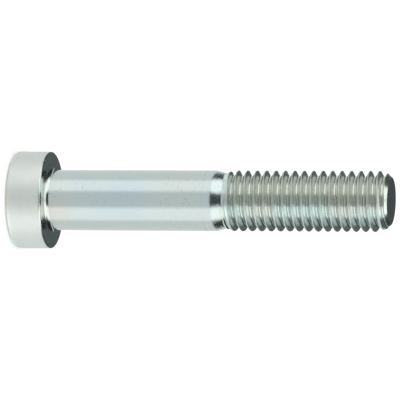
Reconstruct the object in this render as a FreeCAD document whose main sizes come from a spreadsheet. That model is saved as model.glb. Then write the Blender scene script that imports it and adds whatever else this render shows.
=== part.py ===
import FreeCAD, Part
import math
import os

import Sketcher

# A low head cap screw with a hexagon socket, cold headed from one piece of steel wire, with its
# thread rolled on a slightly thinner blank. The frame's origin is the centre of the bearing face
# under the head. +Z runs along the shank to the tip, so the head's flat top is the lowest face and
# the screw stands on it. The thread is right-handed. Its groove has straight flanks that meet in a
# sharp root, and it rises out of the metal where the thread dies out into the blank.

NODE = "cap_screw"

# Each row is a size's name, its value in millimetres or degrees, and what it measures.
SIZES = (
    ("head_diameter", 12.74, "across the plain round head"),
    ("head_height", 4.75, "from the head's flat top to the bearing face"),
    ("head_top_bevel", 0.4, "of the edge round the head's top"),
    ("bearing_rim_bevel", 0.12, "of the edge round the bearing face"),
    ("socket_width", 5.0, "across the flats of the hexagon socket"),
    ("socket_depth", 3.8, "from the head's top to the end of the socket's flats"),
    ("socket_mouth_margin", 0.16, "how far the coned mouth reaches past the hexagon's corners"),
    ("socket_mouth_angle", 120.0, "full angle of the coned mouth"),
    ("socket_floor_ledge", 0.15, "flat ledge between the hexagon's flats and the coned floor"),
    ("socket_floor_angle", 150.0, "full angle of the coned floor"),
    ("length_under_head", 45.45, "from the bearing face to the tip"),
    ("shank_diameter", 7.95, "across the plain shank"),
    ("under_head_bevel", 0.3, "of the stiffening cone between shank and bearing face"),
    ("threaded_length", 22.02, "from the tip to the narrowest place behind the thread"),
    ("neck_length", 1.1, "of the cone from the plain shank down to the rolling blank"),
    ("blank_diameter", 7.18, "across the rolling blank, where the thread dies out"),
    ("crest_diameter", 7.97, "across the thread's crests"),
    ("crest_rise", 1.5, "length over which the first crests come up to full height"),
    ("pitch", 1.25, "from one crest to the next"),
    ("depth_in_pitches", 0.6, "of the groove, from the crests to its root"),
    ("flank_angle", 60.0, "between the two flanks of the groove"),
    ("groove_lead", 1.532, "how far past the tip the groove's first turn is centred"),
    ("groove_margin", 0.06, "how far the groove's cut stands out past the crests"),
    ("groove_rise", 0.73, "how far the groove's root rises over the last turn"),
    ("point_bevel", 0.865, "how much the tip's chamfer takes off the crests' radius"),
    ("point_angle", 45.0, "between the tip's chamfer and the screw's axis"),
)

# Radii and places along the axis, as expressions in the sizes
AXIS = "0"
BEARING_FACE = "0"
HEAD_TOP = "-sizes.head_height"
HEAD_RADIUS = "sizes.head_diameter / 2"
SHANK_RADIUS = "sizes.shank_diameter / 2"
BLANK_RADIUS = "sizes.blank_diameter / 2"
CREST_RADIUS = "sizes.crest_diameter / 2"
ROOT_RADIUS = f"{CREST_RADIUS} - sizes.depth_in_pitches * sizes.pitch"
POINT_RADIUS = f"{CREST_RADIUS} - sizes.point_bevel"
TIP = "sizes.length_under_head"
VALLEY = f"{TIP} - sizes.threaded_length"
SHOULDER = f"{VALLEY} - sizes.neck_length"
FULL_CRESTS = f"{VALLEY} + sizes.crest_rise"
BEVEL_START = f"{TIP} - sizes.point_bevel / tan(sizes.point_angle * 1 deg)"
SOCKET_CORNER = "sizes.socket_width / sqrt(3)"
MOUTH_RADIUS = f"{SOCKET_CORNER} + sizes.socket_mouth_margin"
MOUTH_APEX = f"{HEAD_TOP} + ({MOUTH_RADIUS}) / tan(sizes.socket_mouth_angle / 2 * 1 deg)"
FLOOR_RADIUS = "sizes.socket_width / 2 - sizes.socket_floor_ledge"
FLOOR_EDGE = f"{HEAD_TOP} + sizes.socket_depth"
FLOOR_APEX = f"{FLOOR_EDGE} + ({FLOOR_RADIUS}) / tan(sizes.socket_floor_angle / 2 * 1 deg)"

# The groove's section, its first turn past the tip, and the turns it runs at full depth
CUT_RADIUS = f"{CREST_RADIUS} + sizes.groove_margin"
CUT_DEPTH = "(sizes.depth_in_pitches * sizes.pitch + sizes.groove_margin)"
CUT_SPREAD = f"{CUT_DEPTH} * tan(sizes.flank_angle / 2 * 1 deg)"
GROOVE_START = f"{TIP} + sizes.groove_lead"
FULL_TURNS = f"floor(({GROOVE_START} - ({VALLEY})) / sizes.pitch - 0.5)"
RUN_OUT_START = f"{GROOVE_START} - {FULL_TURNS} * sizes.pitch"


def make_sheet(doc):
    """Puts the driving sizes in the document's spreadsheet."""
    sheet = doc.addObject("Spreadsheet::Sheet", "sizes")
    for row, (alias, value, meaning) in enumerate(SIZES, start=1):
        sheet.set(f"A{row}", meaning)
        sheet.set(f"B{row}", str(value))
        sheet.setAlias(f"B{row}", alias)
    doc.recompute()


def number(holder, expression):
    """Works an expression out as a plain number."""
    found = holder.evalExpression(expression)
    return float(getattr(found, "Value", found))


def new_sketch(body, name, role):
    """Adds an empty sketch on the body's own origin plane of that role."""
    sketch = body.newObject("Sketcher::SketchObject", name)
    plane = next(item for item in body.Origin.OriginFeatures if item.Role == role)
    sketch.AttachmentSupport = [(plane, "")]
    sketch.MapMode = "FlatFace"
    return sketch


def bind(sketch, kind, places, expression):
    """Adds a dimension to a sketch and ties it to an expression."""
    index = sketch.addConstraint(Sketcher.Constraint(kind, *places, number(sketch, expression)))
    sketch.setExpression(f"Constraints[{index}]", expression)


def draw_sides(sketch, points):
    """Draws a closed outline of straight sides, each joined to the next."""
    count = len(points)
    for side in range(count):
        sketch.addGeometry(Part.LineSegment(points[side], points[(side + 1) % count]), False)
    for side in range(count):
        sketch.addConstraint(Sketcher.Constraint("Coincident", side, 2, (side + 1) % count, 1))


def draw_profile(sketch, corners):
    """Draws half a section, from corners given as a radius and a height, and ties each corner."""
    points = [FreeCAD.Vector(number(sketch, r), number(sketch, z), 0) for r, z in corners]
    draw_sides(sketch, points)
    for side, (radius, height) in enumerate(corners):
        if radius == AXIS:
            sketch.addConstraint(Sketcher.Constraint("PointOnObject", side, 1, -2))
        else:
            bind(sketch, "DistanceX", (-1, 1, side, 1), radius)
        if height == BEARING_FACE:
            sketch.addConstraint(Sketcher.Constraint("PointOnObject", side, 1, -1))
        else:
            bind(sketch, "DistanceY", (-1, 1, side, 1), height)


def turn(body, kind, name, corners):
    """Turns half a section about the screw's axis, to add or to cut."""
    sketch = new_sketch(body, f"{name}_profile", "XZ_Plane")
    draw_profile(sketch, corners)
    feature = body.newObject(kind, name)
    feature.Profile = sketch
    feature.ReferenceAxis = (sketch, ["V_Axis"])
    feature.Angle = 360.0
    body.Document.recompute()


def add_blank(body):
    """The headed and rolled form without its thread: head, shank, neck, valley, crests and tip."""
    turn(body, "PartDesign::Revolution", "blank", (
        (AXIS, HEAD_TOP),
        (f"{HEAD_RADIUS} - sizes.head_top_bevel", HEAD_TOP),
        (HEAD_RADIUS, f"{HEAD_TOP} + sizes.head_top_bevel"),
        (HEAD_RADIUS, "-sizes.bearing_rim_bevel"),
        (f"{HEAD_RADIUS} - sizes.bearing_rim_bevel", BEARING_FACE),
        (f"{SHANK_RADIUS} + sizes.under_head_bevel", BEARING_FACE),
        (SHANK_RADIUS, "sizes.under_head_bevel"),
        (SHANK_RADIUS, SHOULDER),
        (BLANK_RADIUS, VALLEY),
        (CREST_RADIUS, FULL_CRESTS),
        (CREST_RADIUS, BEVEL_START),
        (POINT_RADIUS, TIP),
        (AXIS, TIP),
    ))


def add_socket(body):
    """Sinks the hexagon socket in the head's top, with two of its corners on the X axis."""
    sketch = new_sketch(body, "socket_hexagon", "XY_Plane")
    sketch.setExpression("AttachmentOffset.Base.z", HEAD_TOP)
    reach = number(sketch, SOCKET_CORNER)
    corners = [math.radians(60 * corner) for corner in range(6)]
    draw_sides(sketch, [FreeCAD.Vector(reach * math.cos(a), reach * math.sin(a), 0) for a in corners])
    ring = sketch.addGeometry(Part.Circle(FreeCAD.Vector(), FreeCAD.Vector(0, 0, 1), reach), True)
    sketch.addConstraint(Sketcher.Constraint("Coincident", ring, 3, -1, 1))
    bind(sketch, "Radius", (ring,), SOCKET_CORNER)
    for side in range(6):
        sketch.addConstraint(Sketcher.Constraint("PointOnObject", side, 1, ring))
    for side in range(5):
        sketch.addConstraint(Sketcher.Constraint("Equal", side, side + 1))
    sketch.addConstraint(Sketcher.Constraint("PointOnObject", 0, 1, -1))

    socket = body.newObject("PartDesign::Pocket", "hexagon_socket")
    socket.Profile = sketch
    socket.setExpression("Length", "sizes.socket_depth")
    socket.Reversed = True
    body.Document.recompute()


def add_socket_cones(body):
    """Cuts the coned mouth that leads the key in, and the coned floor that the punch leaves."""
    turn(body, "PartDesign::Groove", "socket_mouth", (
        (AXIS, HEAD_TOP),
        (MOUTH_RADIUS, HEAD_TOP),
        (AXIS, MOUTH_APEX),
    ))
    turn(body, "PartDesign::Groove", "socket_floor", (
        (AXIS, HEAD_TOP),
        (FLOOR_RADIUS, HEAD_TOP),
        (FLOOR_RADIUS, FLOOR_EDGE),
        (AXIS, FLOOR_APEX),
    ))


def add_groove(body, name, height, turns, rise):
    """Cuts a right-hand groove that winds from a height towards the head and may rise outwards."""
    sketch = new_sketch(body, f"{name}_section", "XZ_Plane")
    draw_profile(sketch, (
        (f"-({ROOT_RADIUS})", height),
        (f"-({CUT_RADIUS})", f"{height} + {CUT_SPREAD}"),
        (f"-({CUT_RADIUS})", f"{height} - {CUT_SPREAD}"),
    ))
    groove = body.newObject("PartDesign::SubtractiveHelix", name)
    groove.Profile = sketch
    groove.ReferenceAxis = (sketch, ["V_Axis"])
    groove.Mode = "height-turns-growth"
    groove.setExpression("Height", f"({turns}) * sizes.pitch")
    groove.setExpression("Turns", turns)
    groove.setExpression("Growth", rise)
    groove.LeftHanded = False
    groove.Reversed = True
    body.Document.recompute()


def add_thread(body):
    """Rolls the thread's groove at full depth, then the last turn, where it runs out."""
    add_groove(body, "thread_groove", GROOVE_START, FULL_TURNS, "0")
    add_groove(body, "thread_run_out", RUN_OUT_START, "1", "sizes.groove_rise")


def check_document(doc):
    """Stops if a feature failed, a sketch is loose or the body isn't one sound solid."""
    for item in doc.Objects:
        faults = {"Invalid", "Error"} & set(item.State)
        if faults:
            raise RuntimeError(f"{item.Name} failed: {sorted(faults)}")
        if item.TypeId == "Sketcher::SketchObject" and not item.FullyConstrained:
            raise RuntimeError(f"{item.Name} isn't fully constrained")
        if item.TypeId == "PartDesign::Body":
            shape = item.Shape
            if shape.isNull() or not shape.isValid() or len(shape.Solids) != 1:
                raise RuntimeError(f"{item.Label} isn't one sound solid")


def check_cut(before, body, name):
    """Stops if a cut took nothing away."""
    if body.Shape.Volume >= before:
        raise RuntimeError(f"{name} cut nothing")


def main():
    doc = FreeCAD.newDocument("low_head_cap_screw")
    make_sheet(doc)
    body = doc.addObject("PartDesign::Body", NODE)
    body.Label = NODE

    add_blank(body)
    for cut in (add_socket, add_socket_cones, add_thread):
        volume = body.Shape.Volume
        cut(body)
        check_cut(volume, body, cut.__name__)

    check_document(doc)
    os.makedirs("parts", exist_ok=True)
    body.Shape.exportStep(f"parts/{NODE}.step")
    box = body.Shape.optimalBoundingBox()
    size = " x ".join(f"{side:.2f}" for side in (box.XLength, box.YLength, box.ZLength))
    print(f"{NODE}: {body.Shape.Volume:.1f} cubic mm, {size} mm")


main()
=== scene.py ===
import math
from types import SimpleNamespace

import bmesh
import bpy
from bpy.props import FloatProperty, FloatVectorProperty, IntProperty, PointerProperty
from bpy.types import Operator, Panel, PropertyGroup
from mathutils import Matrix, Vector


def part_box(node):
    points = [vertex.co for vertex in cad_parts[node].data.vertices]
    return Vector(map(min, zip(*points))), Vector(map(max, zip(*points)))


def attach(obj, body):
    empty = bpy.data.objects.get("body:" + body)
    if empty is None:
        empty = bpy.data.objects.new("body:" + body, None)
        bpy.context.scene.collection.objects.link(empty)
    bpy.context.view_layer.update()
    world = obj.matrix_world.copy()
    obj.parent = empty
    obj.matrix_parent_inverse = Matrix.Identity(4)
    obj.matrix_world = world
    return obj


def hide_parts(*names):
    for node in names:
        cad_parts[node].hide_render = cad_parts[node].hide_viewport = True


# A low head cap screw with a hexagon socket, bright zinc plated. It stands on its head with its
# tip up the Z axis. The headed blank is turned in mesh code, and Geometry Nodes roll its thread.

bl_info = {
    "name": "Low Head Cap Screw",
    "version": (1, 0, 0),
    "blender": (4, 5, 0),
    "location": "View3D > Sidebar > Cap Screw",
    "description": "Makes a zinc plated cap screw with a rolled thread, and a pale stage to show it on",
    "category": "Add Mesh",
}

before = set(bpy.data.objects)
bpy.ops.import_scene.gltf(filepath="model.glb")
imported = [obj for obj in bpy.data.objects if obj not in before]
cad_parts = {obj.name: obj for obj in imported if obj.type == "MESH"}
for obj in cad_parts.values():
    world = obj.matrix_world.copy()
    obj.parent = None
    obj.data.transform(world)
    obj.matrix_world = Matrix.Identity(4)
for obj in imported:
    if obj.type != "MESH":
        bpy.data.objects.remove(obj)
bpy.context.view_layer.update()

NODE = "cap_screw"
PIECE = "plated_screw"
NODE_LOW, NODE_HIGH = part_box(NODE)
MM = 0.001

HEXAGON_SIDES = 6
HALF_GROOVE = math.radians(30)
SLANT = math.sqrt(0.5)
SOCKET_ROWS = 4
END_RINGS = 4
SHARP_EDGE = math.radians(35)
WELD = 0.001 * MM

# How far down the end face's tilt reaches, in point bevels

TILT_REACH = 1.5

# A soft edge is a pair of values, and a share goes smoothly from 0 to 1 between them. These are the
# edges of the last crest's dent, two above the tip and one in the cosine of the turn from +X.

DENT_FROM = (-2.1 * MM, -1.5 * MM)
DENT_TO = (-0.9 * MM, -0.3 * MM)
DENT_SIDE = (0.1, 0.9)

# Soft edges of the finish in millimetres: the head's above the bearing face, and the point's above
# the tip

HEAD_TO = (-0.3, 0.0)
POINT_FROM = (-0.3, -0.2)

# In millimetres above the valley behind the thread

NECK_FROM = (-2.0, -1.2)
NECK_TO = (-0.2, 0.4)
ROLLED_FROM = (-0.2, 1.0)
# The next edge starts the yellowish film, partly a painted reflection tint
FILM_AND_REFLECTION_FROM = (0.1, 1.8)
# The next two edges bound painted shade on the run-out
RUN_OUT_SHADE_FROM = (-0.4, 0.1)
RUN_OUT_SHADE_TO = (0.9, 1.6)

# In millimetres outwards from the crests, the roots and the end face's rim

CREST_OUT = (-0.325, -0.085)
# The next edge bounds painted shade in the thread's roots
ROOT_SHADE_OUT = (0.047, 0.267)
POINT_OUT = (-0.085, 0.015)

# In millimetres from the axis, towards -X for the film with its painted reflection tint and towards +X for
# the others

FILM_AND_REFLECTION_SIDE = (-1.2, 1.0)
# Keeps the run-out's painted shade to the +X side
RUN_OUT_SHADE_SIDE = (-0.6, 1.0)
# Keeps the painted shade in the roots to the +X side
ROOT_SHADE_SIDE = (1.9, 2.7)

# Soft edges of the finish's patches, in the noises' own values

COOL_HAZE = (0.32, 0.5)
WARM_HAZE = (0.5, 0.68)
WARM_CLOUDS = (0.44, 0.66)
SPOTS = (0.42, 0.6)
PITS = (0.63, 0.74)

# Soft edges of the studio's lights, in degrees of height

STEEP = (-36.0, -20.0)
SHADE_FROM = (-66.0, -56.0)
MINT_TO = (-21.0, -17.0)
BEHIND_TO = (-46.0, -32.0)
UNDER_TO = (-62.0, -46.0)
TABLE_TO = (-4.0, 1.0)
OVERHEAD_FROM = (51.0, 61.0)
PANEL_FROM = (-80.0, -56.0)
MIRRORED_FROM = (-56.0, -46.0)
HIGH_PANEL_FROM = (-4.0, 4.0)
RAISED_FROM = (0.0, 6.0)

# In degrees of turn from the camera's side

SHADE_ASIDE = (60.0, 80.0)
SIDE_TABLE_ASIDE = (40.0, 80.0)
MINT_ASIDE = (84.0, 96.0)
BEHIND_ASIDE = (90.0, 120.0)
SIDE_ROOM_ASIDE = (80.0, 95.0)
BACK_ASIDE = (135.0, 160.0)

# In a direction's share across the screw

RIGHT_SIDE = (-0.1, 0.1)
GAP_SIDE = (0.06, 0.16)

# The panels' sides in degrees of turn, how far they shift on the right and high up, and their soft
# edges past these sides

PANEL_INNER = 28.0
INNER_RIGHT = 8.0
INNER_RAISED = 4.0
INNER_EDGE = (0.0, 15.0)
PANEL_OUTER = 74.0
OUTER_RAISED = 13.0
OUTER_EDGE = (0.0, 16.0)


def length(name, description, default):
    """A size in metres that the user can change."""
    return FloatProperty(name=name, description=description, default=default, precision=5,
                         subtype="DISTANCE", unit="LENGTH", min=0.0)


def tilt(name, description, degrees):
    """An angle that the user can change."""
    return FloatProperty(name=name, description=description, default=math.radians(degrees),
                         subtype="ANGLE", unit="ROTATION")


def factor(name, description, default, least=0.0):
    """A plain number that the user can change."""
    return FloatProperty(name=name, description=description, default=default, min=least)


def tint(name, description, default):
    """A colour that the user can change."""
    return FloatVectorProperty(name=name, description=description, default=default, subtype="COLOR",
                               size=3, min=0.0, max=4.0)


class BlankSizes(PropertyGroup):
    """The headed blank: head, hexagon socket and plain shank."""
    head_radius: length("Head radius", "Half the head's diameter", NODE_HIGH.x)
    head_height: length("Head height", "From the head's flat top to the bearing face", -NODE_LOW.z)
    head_top_round: length("Head top round", "Radius of the edge round the head's top", 0.5 * MM)
    bearing_rim_round: length("Bearing rim round", "Radius of the edge round the bearing face", 0.2 * MM)
    socket_flats: length("Socket flats", "Half the width across the hexagon's flats", 2.5 * MM)
    socket_depth: length("Socket depth", "From the head's top to the end of the flats", 3.8 * MM)
    mouth_radius: length("Socket mouth", "Radius of the coned mouth at the head's top", 3.047 * MM)
    mouth_slope: tilt("Mouth slope", "Half the mouth's cone angle", 60)
    floor_radius: length("Socket floor", "Radius of the coned floor", 2.35 * MM)
    floor_slope: tilt("Floor slope", "Half the floor's cone angle", 75)
    shank_radius: length("Shank radius", "Half the plain shank's diameter", 3.975 * MM)
    under_head_round: length("Under-head round", "Radius of the fillet between shank and bearing face",
                             0.62 * MM)
    columns: IntProperty(name="Columns", description="Faces round the screw, a multiple of six",
                         default=120, min=24)


class ThreadSizes(PropertyGroup):
    """The rolled thread, its run-out and the chamfered tip. The names are the tree's inputs too."""
    pitch: length("Pitch", "From one crest to the next", 1.25 * MM)
    crest_radius: length("Crest radius", "Half the diameter over the crests", 3.985 * MM)
    root_radius: length("Root radius", "Half the diameter at the groove's bottom", 3.233 * MM)
    root_round: length("Root round", "Radius of the groove's bottom", 0.18 * MM)
    crest_round: length("Crest round", "How far a crest's edges are rounded over", 0.15 * MM)
    unevenness: length("Unevenness", "Height of the waves that rolling leaves", 0.012 * MM)
    wave_scale: factor("Wave scale", "Waves across a metre", 1100.0)
    neck_waves: factor("Neck waves", "How many times as high the waves are on the neck", 1.5)
    blank_radius: length("Blank radius", "Half the diameter where the thread dies out", 3.62 * MM)
    weld_height: length("Weld height", "Where the thread's mesh takes over from the shank's", 21.1 * MM)
    valley_height: length("Valley height", "The narrowest place behind the thread", 23.6 * MM)
    neck_slope: factor("Neck slope", "Fall of the neck's radius along its length", 0.262, least=0.05)
    shoulder_ridge: length("Shoulder ridge", "Height of the burr that rolling leaves on the shoulder",
                           0.06 * MM)
    ridge_span: length("Ridge span", "Fall of the neck from the burr's top to its foot", 0.24 * MM)
    shoulder_round: length("Shoulder round", "How far the shoulder's edge is rounded over", 0.15 * MM)
    crest_rise: length("Crest rise", "Length over which the first crests come up", 1.5 * MM)
    groove_height: length("Groove height", "Where a groove's centre crosses the X axis", 23.885 * MM)
    late_start: length("Late start", "How much further up the groove starts than its pitch asks", 0.2 * MM)
    late_span: length("Late span", "Length over which the groove catches up with its pitch", 2.0 * MM)
    full_depth_height: length("Full depth height", "Where the groove reaches its full depth", 24.49 * MM)
    fade_slope: factor("Fade slope", "Rise of the groove's bottom as it runs out", 0.45, least=0.05)
    tip_height: length("Tip height", "From the bearing face to the tip", NODE_HIGH.z)
    point_bevel: length("Point bevel", "How much the chamfer takes off the crests' radius", 0.88 * MM)
    point_lean: length("Point lean", "How far the chamfer is off centre, towards -X", 0.03 * MM)
    point_round: length("Point round", "How far the point's edge is rounded over", 0.1 * MM)
    end_dent: length("End dent", "Depth of the flat on the last crest's +X side", 0.3 * MM)
    end_slope: factor("End slope", "Fall of the end face towards +X, along its width", 0.022)
    end_margin: length("End margin", "Width of the end face's outer ring", 0.45 * MM)
    rows_per_pitch: IntProperty(name="Rows per pitch", description="Faces along one pitch", default=32,
                                min=8)


class Finish(PropertyGroup):
    """The bright zinc plating: its colours, how far each of them covers, and its roughness."""
    zinc: tint("Zinc", "The bright plating", (0.565, 0.625, 0.615))
    zinc_warm: tint("Warm zinc", "Faint warm haze in the plating", (0.59, 0.6, 0.575))
    zinc_cool: tint("Cool zinc", "Faint bluish haze in the plating", (0.54, 0.615, 0.635))
    head: tint("Head", "The plating of the head", (0.66, 0.69, 0.67))
    head_warm: tint("Warm head", "Warm clouds on the head", (0.72, 0.7, 0.67))
    # Partly passivation and partly a painted reflection tint, on the thread's -X side
    film_and_reflection: tint("Thread film", "Yellowish passivation in the thread", (0.6, 0.63, 0.57))
    # This colour also paints shade on the run-out's +X side
    crest: tint("Crests", "The rough crests that rolling leaves", (0.38, 0.42, 0.39))
    # Painted shade, darkening the thread's roots on the +X side
    painted_root_shade: tint("Stain", "Dark residue in the roots on the +X side", (0.2, 0.27, 0.25))
    # Dull end face, darkened further as a painted dark reflection
    point: tint("Point", "The dull end face", (0.33, 0.35, 0.34))
    point_spot: tint("Point's spots", "Darker spots of the end face", (0.21, 0.22, 0.21))
    speck: tint("Specks", "Fine pits in the plating", (0.42, 0.46, 0.45))
    # How much of the film and painted reflection tint covers the thread's -X side
    film_and_reflection_cover: factor("Film cover", "How much of the film is everywhere in the thread", 0.55)
    crest_cover: factor("Crest cover", "How much more the filmed crests are dulled", 0.4)
    patchiness: factor("Patchiness", "How much clouds add to the film and the dull crests", 0.8)
    # How dark the painted shade on the run-out's +X side is
    run_out_shade_cover: factor("Run-out cover", "How dull the run-out's +X side is", 0.5)
    # How dark the painted shade in the +X roots is
    root_shade_cover: factor("Stain cover", "How dark the stained roots are", 0.75)
    speck_cover: factor("Speck cover", "How strongly the specks show", 0.35)
    head_specks_lost: factor("Head specks lost", "Share of the specks that the head lacks", 0.5)
    head_veil: factor("Head veil", "Share of the light that the head's plating scatters", 0.3)
    thread_veil: factor("Thread veil", "Share of the light that the thread's plating scatters", 0.09)
    roughness: factor("Roughness", "Of the bright plating", 0.17)
    head_roughness: factor("Head roughness", "Added on the head", 0.27)
    crest_roughness: factor("Crest roughness", "Added on the crests", 0.2)
    neck_roughness: factor("Neck roughness", "Added on the neck", 0.04)
    grain_roughness: factor("Grain roughness", "Between the smoothest and the roughest grain", 0.12)
    speck_roughness: factor("Speck roughness", "Added in the specks", 0.12)
    haze_scale: factor("Haze scale", "Wide patches across a metre", 120.0)
    cloud_scale: factor("Cloud scale", "Clouds across a metre", 330.0)
    grain_scale: factor("Grain scale", "Grains across a metre", 4200.0)
    speck_scale: factor("Speck scale", "Specks across a metre", 2600.0)
    relief: length("Relief", "Height of the plating's unevenness", 0.004 * MM)
    grain_relief: factor("Grain relief", "Share of the relief that follows the grain", 0.6)
    neck_relief: factor("Neck relief", "How much more relief the neck has, as a share", 2.0)


class StudioLight(PropertyGroup):
    """The light that the metal shows, by where it comes from."""
    table: tint("Table", "The white table round the screw", (0.765, 0.81, 0.805))
    side_table: tint("Side table", "The table beside the screw", (0.86, 0.9, 0.89))
    steep_table: tint("Steep table", "The table where it is seen steeply", (1.15, 1.25, 1.2))
    shade: tint("Shade", "Where the camera shades the table", (0.6, 0.63, 0.6))
    mint: tint("Mint", "The table's edge on the right", (1.25, 1.4, 1.36))
    under: tint("Under", "Straight down and behind", (0.62, 0.66, 0.65))
    room: tint("Room", "The dark room behind the camera", (0.052, 0.064, 0.066))
    side_room: tint("Side room", "The dark room beside the screw", (0.015, 0.02, 0.02))
    back: tint("Back", "The room behind the screw", (0.1, 0.118, 0.12))
    overhead: tint("Overhead", "The light above, on the left", (1.45, 1.5, 1.4))
    right_overhead: tint("Right overhead", "The light above, on the right", (1.85, 2.0, 1.9))
    gap: tint("Gap", "The gap in the middle of the light above", (1.05, 1.16, 1.1))
    panel: tint("Panels", "The upper part of the panels", (1.5, 1.55, 1.52))
    low_panel: tint("Low panels", "The lower part of the panels", (1.21, 1.24, 1.23))
    left_mirrored: tint("Left mirrored", "The left panel, mirrored in the table", (1.15, 1.17, 1.15))
    right_mirrored: tint("Right mirrored", "The right panel, mirrored in the table", (2.3, 2.55, 2.42))


class StageSettings(PropertyGroup):
    """The camera and the floor."""
    camera_distance: length("Camera distance", "From the screw's axis", 600.0 * MM)
    camera_height: length("Camera height", "Above the bearing face", 161.73 * MM)
    camera_shift: length("Camera shift", "How far the camera stands to the side, towards -X", 0.09 * MM)
    camera_pitch: tilt("Camera pitch", "How far the camera looks down", 13.293)
    camera_roll: tilt("Camera roll", "Turns the screw's tip to the picture's right", 90.25)
    focal_length: FloatProperty(name="Focal length", description="Of a 36 mm wide sensor",
                                default=425.41, subtype="DISTANCE_CAMERA")
    floor_size: length("Floor size", "Side of the square floor", 8.0)
    floor: tint("Floor", "The pale floor", (0.97, 0.97, 0.97))
    floor_glow: factor("Floor glow", "White that only the camera sees on the floor", 0.2)


def own_fields(group):
    """The fields that a group of settings adds to Blender's own."""
    return [field for field in group.bl_rna.properties if field.identifier not in ("rna_type", "name")]


# Sums in a node tree

def feed(tree, place, value):
    """Links a socket to an input, or sets the input to a plain value."""
    if isinstance(value, Field):
        tree.links.new(value.socket, place)
    else:
        place.default_value = value


def new_node(tree, kind, settings=(), **inputs):
    """Adds a node, with its settings and its inputs by name."""
    node = tree.nodes.new(kind)
    for name, value in dict(settings).items():
        setattr(node, name, value)
    for name, value in inputs.items():
        feed(tree, node.inputs[name.replace("_", " ")], value)
    return node


def out(tree, node, name=0):
    """A node's output, ready for sums."""
    return Field(tree, node.outputs[name])


def work_out(tree, operation, *values):
    """Adds a Math node."""
    node = new_node(tree, "ShaderNodeMath", {"operation": operation})
    for place, value in zip(node.inputs, values):
        feed(tree, place, value)
    return out(tree, node)


class Field:
    """A value in a node tree that takes the signs of arithmetic, so that a rule reads as on paper."""

    def __init__(self, tree, socket):
        self.tree = tree
        self.socket = socket

    def __add__(self, other):
        return work_out(self.tree, "ADD", self, other)

    def __radd__(self, other):
        return work_out(self.tree, "ADD", other, self)

    def __sub__(self, other):
        return work_out(self.tree, "SUBTRACT", self, other)

    def __rsub__(self, other):
        return work_out(self.tree, "SUBTRACT", other, self)

    def __mul__(self, other):
        return work_out(self.tree, "MULTIPLY", self, other)

    def __rmul__(self, other):
        return work_out(self.tree, "MULTIPLY", other, self)

    def __truediv__(self, other):
        return work_out(self.tree, "DIVIDE", self, other)

    def do(self, operation, *others):
        return work_out(self.tree, operation, self, *others)

    def squared(self):
        return self * self

    def at_least(self, other):
        return self.do("MAXIMUM", other)

    def at_most(self, other):
        return self.do("MINIMUM", other)

    def soft_at_most(self, other, width):
        return self.do("SMOOTH_MIN", other, width)

    def within(self, low, high):
        return self.at_least(low).at_most(high)

    def past(self, edge):
        """Goes smoothly from 0 to 1 as the value crosses a soft edge, a pair of values."""
        node = new_node(self.tree, "ShaderNodeMapRange", {"interpolation_type": "SMOOTHSTEP"},
                        Value=self, From_Min=edge[0], From_Max=edge[1])
        return out(self.tree, node)

    def before(self, edge):
        """Goes smoothly from 1 to 0 as the value crosses a soft edge."""
        return 1 - self.past(edge)

    def mix(self, first, second):
        """Goes from one colour to another as the value goes from 0 to 1."""
        node = new_node(self.tree, "ShaderNodeMix", {"data_type": "RGBA"}, Factor=self)
        for place, colour in ((node.inputs[6], first), (node.inputs[7], second)):
            feed(self.tree, place, colour if isinstance(colour, Field) else (*colour, 1.0))
        return out(self.tree, node, 2)


def split(vector):
    """The X, Y and Z of a vector."""
    node = new_node(vector.tree, "ShaderNodeSeparateXYZ", Vector=vector)
    return [out(vector.tree, node, axis) for axis in "XYZ"]


def spot(radius, angle, height):
    """The place at a distance from the screw's axis, a turn from +X and a height."""
    node = new_node(radius.tree, "ShaderNodeCombineXYZ", X=radius * angle.do("COSINE"),
                    Y=radius * angle.do("SINE"), Z=height)
    return out(radius.tree, node)


def noise(places, scale, detail, roughness):
    """An even noise between 0 and 1."""
    node = new_node(places.tree, "ShaderNodeTexNoise", Vector=places, Scale=scale, Detail=detail,
                    Roughness=roughness)
    return out(places.tree, node, "Fac")


# The headed blank

def arc(centre, radius, start, end, steps):
    """Points of a round edge in the half section, as radius and height, without its first one."""
    points = []
    for step in range(1, steps + 1):
        angle = math.radians(start + (end - start) * step / steps)
        points.append((centre[0] + radius * math.cos(angle), centre[1] + radius * math.sin(angle)))
    return points


def run(start, end, steps):
    """Points of a straight stretch of the half section, without its first one."""
    points = []
    for step in range(1, steps + 1):
        share = step / steps
        points.append((start[0] + (end[0] - start[0]) * share, start[1] + (end[1] - start[1]) * share))
    return points


def hexagon_radius(flats, angle):
    """How far the hexagon's wall is from the axis, with two corners on the X axis."""
    side = 2 * math.pi / HEXAGON_SIDES
    return flats / math.cos(angle % side - side / 2)


def socket_rings(blank, angles):
    """Rings from the socket's floor out to its mouth."""
    top = -blank.head_height
    floor = top + blank.socket_depth
    rings = [[(blank.floor_radius, floor)] * len(angles)]
    wall = [hexagon_radius(blank.socket_flats, angle) for angle in angles]
    mouth = [top + (blank.mouth_radius - reach) / math.tan(blank.mouth_slope) for reach in wall]
    for row in range(SOCKET_ROWS + 1):
        share = row / SOCKET_ROWS
        rings.append([(reach, floor + (end - floor) * share) for reach, end in zip(wall, mouth)])
    rings.append([(blank.mouth_radius, top)] * len(angles))
    return rings


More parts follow.
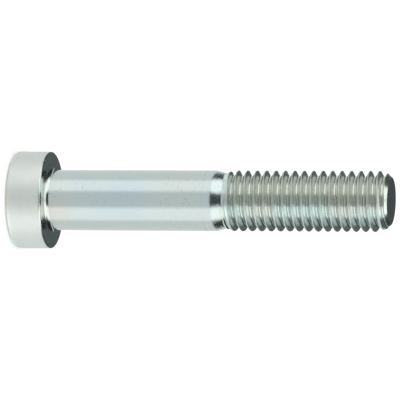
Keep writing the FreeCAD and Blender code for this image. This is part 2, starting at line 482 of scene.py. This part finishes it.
def outer_points(blank, end_height):
    """The half section from the socket's mouth over the head and up the shank."""
    top = -blank.head_height
    rim = blank.head_radius
    edge = blank.head_top_round
    lip = blank.bearing_rim_round
    root = blank.under_head_round
    shank = blank.shank_radius
    points = run((blank.mouth_radius, top), (rim - edge, top), steps=6)
    points += arc((rim - edge, top + edge), edge, start=-90, end=0, steps=8)
    points += run((rim, top + edge), (rim, -lip), steps=8)
    points += arc((rim - lip, -lip), lip, start=0, end=90, steps=6)
    points += run((rim - lip, 0.0), (shank + root, 0.0), steps=5)
    points += arc((shank + root, root), root, start=-90, end=-180, steps=10)
    points += run((shank, root), (shank, end_height), steps=28)
    return points


def bridge(mesh, lower, upper):
    """Joins two rings of vertices with faces that look outwards."""
    count = len(lower)
    for column in range(count):
        after = (column + 1) % count
        mesh.faces.new((lower[column], lower[after], upper[after], upper[column]))


def fan(mesh, height, ring, looks_down):
    """Closes a ring with a fan of triangles round a point on the axis."""
    centre = mesh.verts.new((0.0, 0.0, height))
    count = len(ring)
    for column in range(count):
        after = (column + 1) % count
        ends = (ring[after], ring[column]) if looks_down else (ring[column], ring[after])
        mesh.faces.new((centre, *ends))


def add_ring(mesh, angles, places):
    """Adds a ring of vertices from a radius and a height for each angle."""
    return [mesh.verts.new((radius * math.cos(angle), radius * math.sin(angle), height))
            for angle, (radius, height) in zip(angles, places)]


def turn_body(mesh, blank, end_height, angles):
    """Turns the socket, the head and the shank."""
    rings = [add_ring(mesh, angles, places) for places in socket_rings(blank, angles)]
    for point in outer_points(blank, end_height):
        rings.append(add_ring(mesh, angles, [point] * len(angles)))
    for lower, upper in zip(rings, rings[1:]):
        bridge(mesh, lower, upper)
    floor_tip = blank.socket_depth - blank.head_height + blank.floor_radius / math.tan(blank.floor_slope)
    fan(mesh, floor_tip, rings[0], looks_down=True)


def face_end(mesh, thread, angles):
    """Faces the tip, inside the ring where the thread's mesh ends."""
    end_radius = thread.crest_radius - thread.point_bevel - thread.end_margin
    radii = [end_radius * (1 - ring / END_RINGS) for ring in range(END_RINGS)]
    rings = [add_ring(mesh, angles, [(radius, thread.tip_height)] * len(angles)) for radius in radii]
    for outer, inner in zip(rings, rings[1:]):
        bridge(mesh, outer, inner)
    fan(mesh, thread.tip_height, rings[-1], looks_down=False)


def turn_blank(blank, thread):
    """Makes the mesh of the headed blank and of the end face, with room between them for the thread."""
    angles = [2 * math.pi * column / blank.columns for column in range(blank.columns)]
    mesh = bmesh.new()
    turn_body(mesh, blank, thread.weld_height, angles)
    face_end(mesh, thread, angles)
    data = bpy.data.meshes.new(NODE)
    mesh.to_mesh(data)
    mesh.free()
    return data


# The rolled thread

def point_section(inputs, place, bevel):
    """Radius and height along the crests' line, down the point's chamfer and in over the end face."""
    bevel_start = inputs["Tip height"] - bevel
    past_bevel = (place - bevel_start).at_least(0.0)
    past_end = (place - bevel_start - bevel / SLANT).at_least(0.0)
    radius = inputs["Crest radius"] - past_bevel * SLANT - past_end * (1 - SLANT)
    height = place - past_bevel * (1 - SLANT) - past_end * SLANT
    return radius, height


def neck_radius(inputs, height, wave):
    """Radius of the shank, the burr on its shoulder and the neck that falls to the valley."""
    fall = (inputs["Valley height"] - height) * inputs["Neck slope"]
    neck = inputs["Blank radius"] + fall + wave * inputs["Neck waves"]
    burr_top = inputs["Shank radius"] + inputs["Shoulder ridge"]
    aside = ((burr_top - neck) / inputs["Ridge span"]).do("ABSOLUTE")
    burr = inputs["Shoulder ridge"] * (1 - aside).at_least(0.0)
    return (inputs["Shank radius"] + burr).soft_at_most(neck, inputs["Shoulder round"])


def crest_radius(inputs, height):
    """Radius over the crests, which come up from the blank behind the first of them."""
    left = 1 - ((height - inputs["Valley height"]) / inputs["Crest rise"]).within(0.0, 1.0)
    return inputs["Crest radius"] - (inputs["Crest radius"] - inputs["Blank radius"]) * left.squared()


def end_flat(inputs, angle, place):
    """How far the last crest is flattened on its +X side, from 0 to 1."""
    from_tip = place - inputs["Tip height"]
    return from_tip.past(DENT_FROM) * from_tip.before(DENT_TO) * angle.do("COSINE").past(DENT_SIDE)


def groove_radius(inputs, turn, height):
    """Radius of the rolled groove's surface at a share of a turn and a height."""
    pitch = inputs["Pitch"]
    start = inputs["Groove height"]
    rounding = inputs["Root round"]
    early = 1 - ((height - start) / inputs["Late span"]).within(0.0, 1.0)
    late = inputs["Late start"] * early.squared()
    along = (height - late - turn * pitch - start) / pitch
    nearest = along.do("ROUND")
    aside = (along - nearest).do("ABSOLUTE") * pitch
    on_round = aside.at_most(rounding * math.cos(HALF_GROOVE))
    bottom = rounding - (rounding.squared() - on_round.squared()).do("SQRT")
    flank = (aside - on_round) / math.tan(HALF_GROOVE)
    centre = (nearest + turn) * pitch + start
    fade = (inputs["Full depth height"] - centre).at_least(0.0) * inputs["Fade slope"]
    return inputs["Root radius"] + bottom + flank + fade


def surface_wave(inputs, angle, place):
    """Uneven waves round and along the screw, above and below nothing."""
    places = spot(inputs["Crest radius"], angle, place)
    waves = noise(places, inputs["Wave scale"], detail=2.0, roughness=0.5)
    return (waves - 0.5) * 2.0 * inputs["Unevenness"]


def screw_surface(inputs, turn, row):
    """Where a point of the grid goes, from its share of a turn and its row along the screw."""
    step = inputs["Pitch"] / inputs["Rows per pitch"]
    along = inputs["Weld height"] - inputs["Pitch"] + row * step + turn * inputs["Pitch"]
    angle = turn * (2 * math.pi)
    lean = (angle.do("COSINE") + 1.0) * inputs["Point lean"]
    bevel = inputs["Point bevel"] + lean
    last = inputs["Tip height"] + bevel * (1 / SLANT - 1) + inputs["End margin"] - lean
    place = along.within(inputs["Weld height"], last)  # ends equally far from the axis all round

    wave = surface_wave(inputs, angle, place)
    point, height = point_section(inputs, place, bevel)
    blank = neck_radius(inputs, height, wave).at_least(crest_radius(inputs, height))
    blank = blank.soft_at_most(point, inputs["Point round"])
    blank = blank - inputs["End dent"] * end_flat(inputs, angle, place)
    groove = groove_radius(inputs, turn, height) + wave
    return spot(blank.soft_at_most(groove, inputs["Crest round"]), angle, height)


def thread_mesh(tree, inputs):
    """A flat grid rolled round the screw, one side for a turn and the other for the way along."""
    grid = new_node(tree, "GeometryNodeMeshGrid", Size_X=1.0, Size_Y=1.0,
                    Vertices_X=inputs["Columns"] + 1, Vertices_Y=inputs["Rows"] + 1)
    flat_x, flat_y, _ = split(out(tree, new_node(tree, "GeometryNodeInputPosition")))
    places = screw_surface(inputs, flat_x + 0.5, (flat_y + 0.5) * inputs["Rows"])
    return out(tree, new_node(tree, "GeometryNodeSetPosition", Geometry=out(tree, grid, "Mesh"),
                              Position=places))


def end_tilt(tree, inputs):
    """How far each place is moved so that the end face is a little tilted, as a sheared blank's."""
    across, _, up = split(out(tree, new_node(tree, "GeometryNodeInputPosition")))
    end_radius = inputs["Crest radius"] - inputs["Point bevel"]
    start = inputs["Tip height"] - inputs["Point bevel"] * TILT_REACH
    share = up.past((start, inputs["Tip height"]))
    drop = (across + end_radius).at_least(0.0) * inputs["End slope"] * share
    return out(tree, new_node(tree, "ShaderNodeCombineXYZ", Z=drop * -1.0))


def named_inputs(tree, values):
    """Gives the tree its inputs and its output, and tells each input's identifier by its name."""
    kinds = {"Blank": "NodeSocketGeometry"}
    for name, value in values.items():
        kinds[name] = "NodeSocketInt" if isinstance(value, int) else "NodeSocketFloat"
    kinds["Finish"] = "NodeSocketMaterial"
    identifiers = {}
    for name, kind in kinds.items():
        socket = tree.interface.new_socket(name=name, in_out="INPUT", socket_type=kind)
        identifiers[name] = socket.identifier
    tree.interface.new_socket(name="Screw", in_out="OUTPUT", socket_type="NodeSocketGeometry")
    given = new_node(tree, "NodeGroupInput")
    return {name: out(tree, given, name) for name in kinds}, identifiers


def thread_tree(values):
    """Rolls a right-hand thread on the blank, welds both meshes and sets the finish."""
    tree = bpy.data.node_groups.new("Rolled Thread", "GeometryNodeTree")
    inputs, identifiers = named_inputs(tree, values)
    joined = new_node(tree, "GeometryNodeJoinGeometry")
    for part in (inputs["Blank"], thread_mesh(tree, inputs)):
        tree.links.new(part.socket, joined.inputs[0])
    bend = out(tree, new_node(tree, "GeometryNodeInputMeshEdgeAngle"), "Unsigned Angle")
    sharp = bend.do("GREATER_THAN", SHARP_EDGE)
    steps = (
        ("GeometryNodeMergeByDistance", {}, {"Distance": WELD}),
        ("GeometryNodeSetPosition", {}, {"Offset": end_tilt(tree, inputs)}),
        ("GeometryNodeSetShadeSmooth", {}, {"Shade_Smooth": True}),
        ("GeometryNodeSetShadeSmooth", {"domain": "EDGE"}, {"Selection": sharp, "Shade_Smooth": False}),
        ("GeometryNodeRealizeInstances", {}, {}),
        ("GeometryNodeSetMaterial", {}, {"Material": inputs["Finish"]}),
    )
    screw = out(tree, joined)
    for kind, settings, sockets in steps:
        screw = out(tree, new_node(tree, kind, settings, Geometry=screw, **sockets))
    result = new_node(tree, "NodeGroupOutput")
    tree.links.new(screw.socket, result.inputs[0])
    return tree, identifiers


def thread_values(blank, thread):
    """What the thread's tree is given: its sizes by name, the shank's radius and the grid's counts."""
    values = {field.name: getattr(thread, field.identifier) for field in own_fields(thread)}
    span = thread.tip_height - thread.weld_height + thread.point_bevel + thread.end_margin
    values["Rows"] = math.ceil((span / thread.pitch + 1) * thread.rows_per_pitch)
    values["Columns"] = blank.columns
    values["Shank radius"] = blank.shank_radius
    return values


def roll_thread(screw, values, material):
    """Gives the blank its thread, as one plain mesh."""
    tree, identifiers = thread_tree(values)
    modifier = screw.modifiers.new("Rolled Thread", "NODES")
    modifier.node_group = tree
    for name, value in values.items():
        modifier[identifiers[name]] = value
    modifier[identifiers["Finish"]] = material
    evaluated = screw.evaluated_get(bpy.context.evaluated_depsgraph_get())
    mesh = bpy.data.meshes.new_from_object(evaluated)
    screw.modifiers.remove(modifier)
    screw.data = mesh
    mesh.name = NODE


# The finish

def finish_zones(places, thread):
    """How far each zone of the finish holds at a place, from 0 to 1."""
    across, aside, up = [part / MM for part in split(places)]
    radius = (across.squared() + aside.squared()).do("SQRT")
    from_valley = up - thread.valley_height / MM
    from_tip = up - thread.tip_height / MM
    from_crests = radius - thread.crest_radius / MM
    from_roots = radius - thread.root_radius / MM
    from_rim = radius - (thread.crest_radius - thread.point_bevel) / MM
    rolled = from_valley.past(ROLLED_FROM)
    return SimpleNamespace(
        head=up.before(HEAD_TO),
        neck=from_valley.past(NECK_FROM) * from_valley.before(NECK_TO),
        rolled=rolled,
        crest=rolled * from_crests.past(CREST_OUT),
        # Yellowish film on the thread's -X side, partly a painted reflection tint
        film_and_reflection=from_valley.past(FILM_AND_REFLECTION_FROM) * (across * -1.0).past(FILM_AND_REFLECTION_SIDE),
        # Painted shade on the run-out's +X side
        painted_run_out_shade=from_valley.past(RUN_OUT_SHADE_FROM) * from_valley.before(RUN_OUT_SHADE_TO) * across.past(RUN_OUT_SHADE_SIDE),
        # Painted shade in the thread's roots on the +X side
        painted_root_shade=rolled * from_roots.before(ROOT_SHADE_OUT) * across.past(ROOT_SHADE_SIDE),
        point=from_tip.past(POINT_FROM) * from_rim.before(POINT_OUT),
    )


def finish_colour(finish, zone, places, specks, pits):
    """Hazy zinc, a paler head, a thread with film and painted reflection on its -X side and painted shade
    on its +X side, and a dull end face with painted dark reflection.
    """
    haze = noise(places, finish.haze_scale, detail=1.5, roughness=0.5)
    clouds = noise(places, finish.cloud_scale, detail=3.0, roughness=0.55)
    patches = clouds * finish.patchiness
    cool = haze.before(COOL_HAZE).mix(finish.zinc, finish.zinc_cool)
    zinc = haze.past(WARM_HAZE).mix(cool, finish.zinc_warm)
    head = clouds.past(WARM_CLOUDS).mix(finish.head, finish.head_warm)
    # The end face: dull, and darkened as a painted dark reflection, with darker spots
    point = specks.past(SPOTS).mix(finish.point, finish.point_spot)
    layers = (
        (zone.head, head),
        # Film and painted reflection tint; the crests below are dulled more under it
        (zone.film_and_reflection * (finish.film_and_reflection_cover + patches), finish.film_and_reflection),
        (zone.crest * (zone.film_and_reflection * finish.crest_cover + patches), finish.crest),
        # Painted shade on the run-out's +X side, in the crests' colour
        (zone.painted_run_out_shade * finish.run_out_shade_cover, finish.crest),
        # Painted shade in the +X roots
        (zone.painted_root_shade * finish.root_shade_cover, finish.painted_root_shade),
        # The end face, partly a painted dark reflection
        (zone.point, point),
        (pits * finish.speck_cover, finish.speck),
    )
    colour = zinc
    for cover, layer in layers:
        colour = cover.mix(colour, layer)
    return colour


def zinc_material(finish, thread):
    """Bright zinc plating over cold-headed and rolled steel."""
    material = bpy.data.materials.new("Bright zinc")
    material.use_nodes = True
    tree = material.node_tree
    places = out(tree, new_node(tree, "ShaderNodeTexCoord"), "Object")
    zone = finish_zones(places, thread)
    grain = noise(places, finish.grain_scale, detail=2.0, roughness=0.6)
    specks = noise(places, finish.speck_scale, detail=1.0, roughness=0.5)
    pits = specks.past(PITS) * (1 - zone.head * finish.head_specks_lost) * (1 - zone.point)

    veil = zone.head * finish.head_veil + zone.rolled * (1 - zone.point) * finish.thread_veil
    rough = zone.head * finish.head_roughness + zone.crest * finish.crest_roughness
    rough = rough + zone.neck * finish.neck_roughness + pits * finish.speck_roughness
    rough = rough + (grain - 0.5) * finish.grain_roughness
    bumps = grain * finish.grain_relief + specks * (1 - finish.grain_relief)
    relief = new_node(tree, "ShaderNodeBump", Height=bumps * (zone.neck * finish.neck_relief + 1),
                      Distance=finish.relief)
    shader = tree.nodes["Principled BSDF"]
    feed(tree, shader.inputs["Base Color"], finish_colour(finish, zone, places, specks, pits))
    feed(tree, shader.inputs["Metallic"], 1 - veil)
    feed(tree, shader.inputs["Roughness"], rough + finish.roughness)
    feed(tree, shader.inputs["Normal"], out(tree, relief))
    return material


# The stage

def sky_fields(tree):
    """Where a direction points: its share across, its turn from the camera's side and its height."""
    across, ahead, up = split(out(tree, new_node(tree, "ShaderNodeTexCoord"), "Generated"))
    height = up.do("ARCSINE").do("DEGREES")
    aside = across.do("ABSOLUTE").do("ARCTAN2", ahead * -1.0).do("DEGREES")
    return SimpleNamespace(across=across, aside=aside, height=height, right=across.past(RIGHT_SIDE),
                           steep=height.before(STEEP))


def table_light(sky, light):
    """A white table that the camera shades, brighter where it is steep and at its right edge."""
    behind = sky.aside.past(BEHIND_ASIDE) * sky.height.before(BEHIND_TO)
    layers = (
        (sky.right * sky.aside.past(MINT_ASIDE) * sky.height.before(MINT_TO), light.mint),
        (sky.steep, light.steep_table),
        (sky.height.before(UNDER_TO).at_least(behind), light.under),
        (sky.steep * sky.height.past(SHADE_FROM) * sky.aside.before(SHADE_ASIDE), light.shade),
    )
    table = sky.aside.past(SIDE_TABLE_ASIDE).mix(light.table, light.side_table)
    for cover, layer in layers:
        table = cover.mix(table, layer)
    return table


def overhead_light(sky, light):
    """A light above, brighter on the right and with a gap in the middle."""
    overhead = sky.right.mix(light.overhead, light.right_overhead)
    return sky.across.do("ABSOLUTE").before(GAP_SIDE).mix(overhead, light.gap)


def panel_light(sky, light):
    """The tall panels, and below them what the table mirrors of them."""
    mirrored = sky.right.mix(light.left_mirrored, light.right_mirrored)
    panel = sky.height.past(HIGH_PANEL_FROM).mix(light.low_panel, light.panel)
    panel = (sky.steep * sky.height.past(MIRRORED_FROM)).mix(panel, mirrored)
    return sky.height.before(PANEL_FROM).mix(panel, light.under)


def panel_share(sky):
    """How much of a direction the panels fill, on either side of the camera."""
    raised = sky.height.past(RAISED_FROM)
    inner = PANEL_INNER - INNER_RIGHT * sky.right - INNER_RAISED * raised
    outer = PANEL_OUTER + OUTER_RAISED * raised * (1 - sky.right)
    return (sky.aside - inner).past(INNER_EDGE) * (sky.aside - outer).before(OUTER_EDGE)


def studio_light(tree, light):
    """What the metal sees: a white table, a dark room, a light above and panels beside the camera."""
    sky = sky_fields(tree)
    room = sky.aside.past(SIDE_ROOM_ASIDE).mix(light.room, light.side_room)
    room = sky.aside.past(BACK_ASIDE).mix(room, light.back)
    seen = sky.height.past(TABLE_TO).mix(table_light(sky, light), room)
    seen = sky.height.past(OVERHEAD_FROM).mix(seen, overhead_light(sky, light))
    return panel_share(sky).mix(seen, panel_light(sky, light))


def light_world(light):
    """White for the camera and for plain surfaces, and the studio for what shines."""
    world = bpy.data.worlds.new("Studio")
    world.use_nodes = True
    tree = world.node_tree
    glossy = out(tree, new_node(tree, "ShaderNodeLightPath"), "Is Glossy Ray")
    seen = glossy.mix((1.0, 1.0, 1.0), studio_light(tree, light))
    feed(tree, tree.nodes["Background"].inputs["Color"], seen)
    bpy.context.scene.world = world


def floor_material(stage):
    """A plain pale surface that glows a little for the camera alone."""
    material = bpy.data.materials.new("Pale floor")
    material.use_nodes = True
    tree = material.node_tree
    shader = tree.nodes["Principled BSDF"]
    shader.inputs["Base Color"].default_value = (*stage.floor, 1.0)
    shader.inputs["Roughness"].default_value = 1.0
    shader.inputs["Specular IOR Level"].default_value = 0.0
    shader.inputs["Emission Color"].default_value = (1.0, 1.0, 1.0, 1.0)
    seen = out(tree, new_node(tree, "ShaderNodeLightPath"), "Is Camera Ray")
    feed(tree, shader.inputs["Emission Strength"], seen * stage.floor_glow)
    return material


def lay_floor(stage, height):
    """A wide pale floor under the screw, which the metal doesn't show."""
    half = stage.floor_size / 2
    corners = [(-half, -half, height), (half, -half, height), (half, half, height), (-half, half, height)]
    data = bpy.data.meshes.new("Floor")
    data.from_pydata(corners, [], [(0, 1, 2, 3)])
    data.materials.append(floor_material(stage))
    floor = bpy.data.objects.new("Floor", data)
    bpy.context.collection.objects.link(floor)
    floor.visible_glossy = False


def place_camera(stage):
    """Looks down at the standing screw, rolled so that it lies across the picture."""
    data = bpy.data.cameras.new("Camera")
    data.lens = stage.focal_length
    data.sensor_width = 36.0
    data.clip_start = 0.01
    data.clip_end = 20.0
    camera = bpy.data.objects.new("Camera", data)
    bpy.context.collection.objects.link(camera)
    ahead = Vector((0.0, math.cos(stage.camera_pitch), -math.sin(stage.camera_pitch)))
    level = ahead.to_track_quat("-Z", "Y").to_matrix().to_4x4()
    rolled = level @ Matrix.Rotation(stage.camera_roll, 4, "Z")
    place = (-stage.camera_shift, -stage.camera_distance, stage.camera_height)
    camera.matrix_world = Matrix.Translation(place) @ rolled
    bpy.context.scene.camera = camera


# Operators

class CAPSCREW_OT_turn_blank(Operator):
    """Turn the headed blank with its hexagon socket"""
    bl_idname = "capscrew.turn_blank"
    bl_label = "Turn Blank"
    bl_options = {"REGISTER", "UNDO"}

    def execute(self, context):
        data = turn_blank(context.scene.screw_blank, context.scene.screw_thread)
        screw = bpy.data.objects.new(PIECE, data)
        context.collection.objects.link(screw)
        return {"FINISHED"}


class CAPSCREW_OT_roll_thread(Operator):
    """Roll the thread on the blank and plate the screw with zinc"""
    bl_idname = "capscrew.roll_thread"
    bl_label = "Roll Thread"
    bl_options = {"REGISTER", "UNDO"}

    def execute(self, context):
        scene = context.scene
        screw = bpy.data.objects[PIECE]
        material = zinc_material(scene.screw_finish, scene.screw_thread)
        roll_thread(screw, thread_values(scene.screw_blank, scene.screw_thread), material)
        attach(screw, "root")
        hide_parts(NODE)
        return {"FINISHED"}


class CAPSCREW_OT_set_stage(Operator):
    """Lay the pale floor, light it and place the camera"""
    bl_idname = "capscrew.set_stage"
    bl_label = "Set Stage"
    bl_options = {"REGISTER", "UNDO"}

    def execute(self, context):
        scene = context.scene
        lay_floor(scene.screw_stage, NODE_LOW.z)
        light_world(scene.screw_light)
        place_camera(scene.screw_stage)
        scene.view_settings.view_transform = "Standard"
        return {"FINISHED"}


class CAPSCREW_PT_sidebar(Panel):
    """Lists the steps that make the screw, and the sizes and colours that they take"""
    bl_idname = "CAPSCREW_PT_sidebar"
    bl_label = "Low Head Cap Screw"
    bl_space_type = "VIEW_3D"
    bl_region_type = "UI"
    bl_category = "Cap Screw"

    def draw(self, context):
        layout = self.layout
        for operator in OPERATORS:
            layout.operator(operator.bl_idname)
        for name in SETTINGS:
            box = layout.box()
            group = getattr(context.scene, name)
            for field in own_fields(group):
                box.prop(group, field.identifier)


OPERATORS = (CAPSCREW_OT_turn_blank, CAPSCREW_OT_roll_thread, CAPSCREW_OT_set_stage)
SETTINGS = {
    "screw_blank": BlankSizes,
    "screw_thread": ThreadSizes,
    "screw_finish": Finish,
    "screw_light": StudioLight,
    "screw_stage": StageSettings,
}


def register():
    for group in SETTINGS.values():
        bpy.utils.register_class(group)
    for operator in OPERATORS:
        bpy.utils.register_class(operator)
    bpy.utils.register_class(CAPSCREW_PT_sidebar)
    for name, group in SETTINGS.items():
        setattr(bpy.types.Scene, name, PointerProperty(type=group))


def unregister():
    for name in SETTINGS:
        delattr(bpy.types.Scene, name)
    bpy.utils.unregister_class(CAPSCREW_PT_sidebar)
    for operator in reversed(OPERATORS):
        bpy.utils.unregister_class(operator)
    for group in reversed(SETTINGS.values()):
        bpy.utils.unregister_class(group)


def main():
    register()
    bpy.ops.capscrew.turn_blank()
    bpy.ops.capscrew.roll_thread()
    bpy.ops.capscrew.set_stage()


if __name__ == "__main__":
    main()
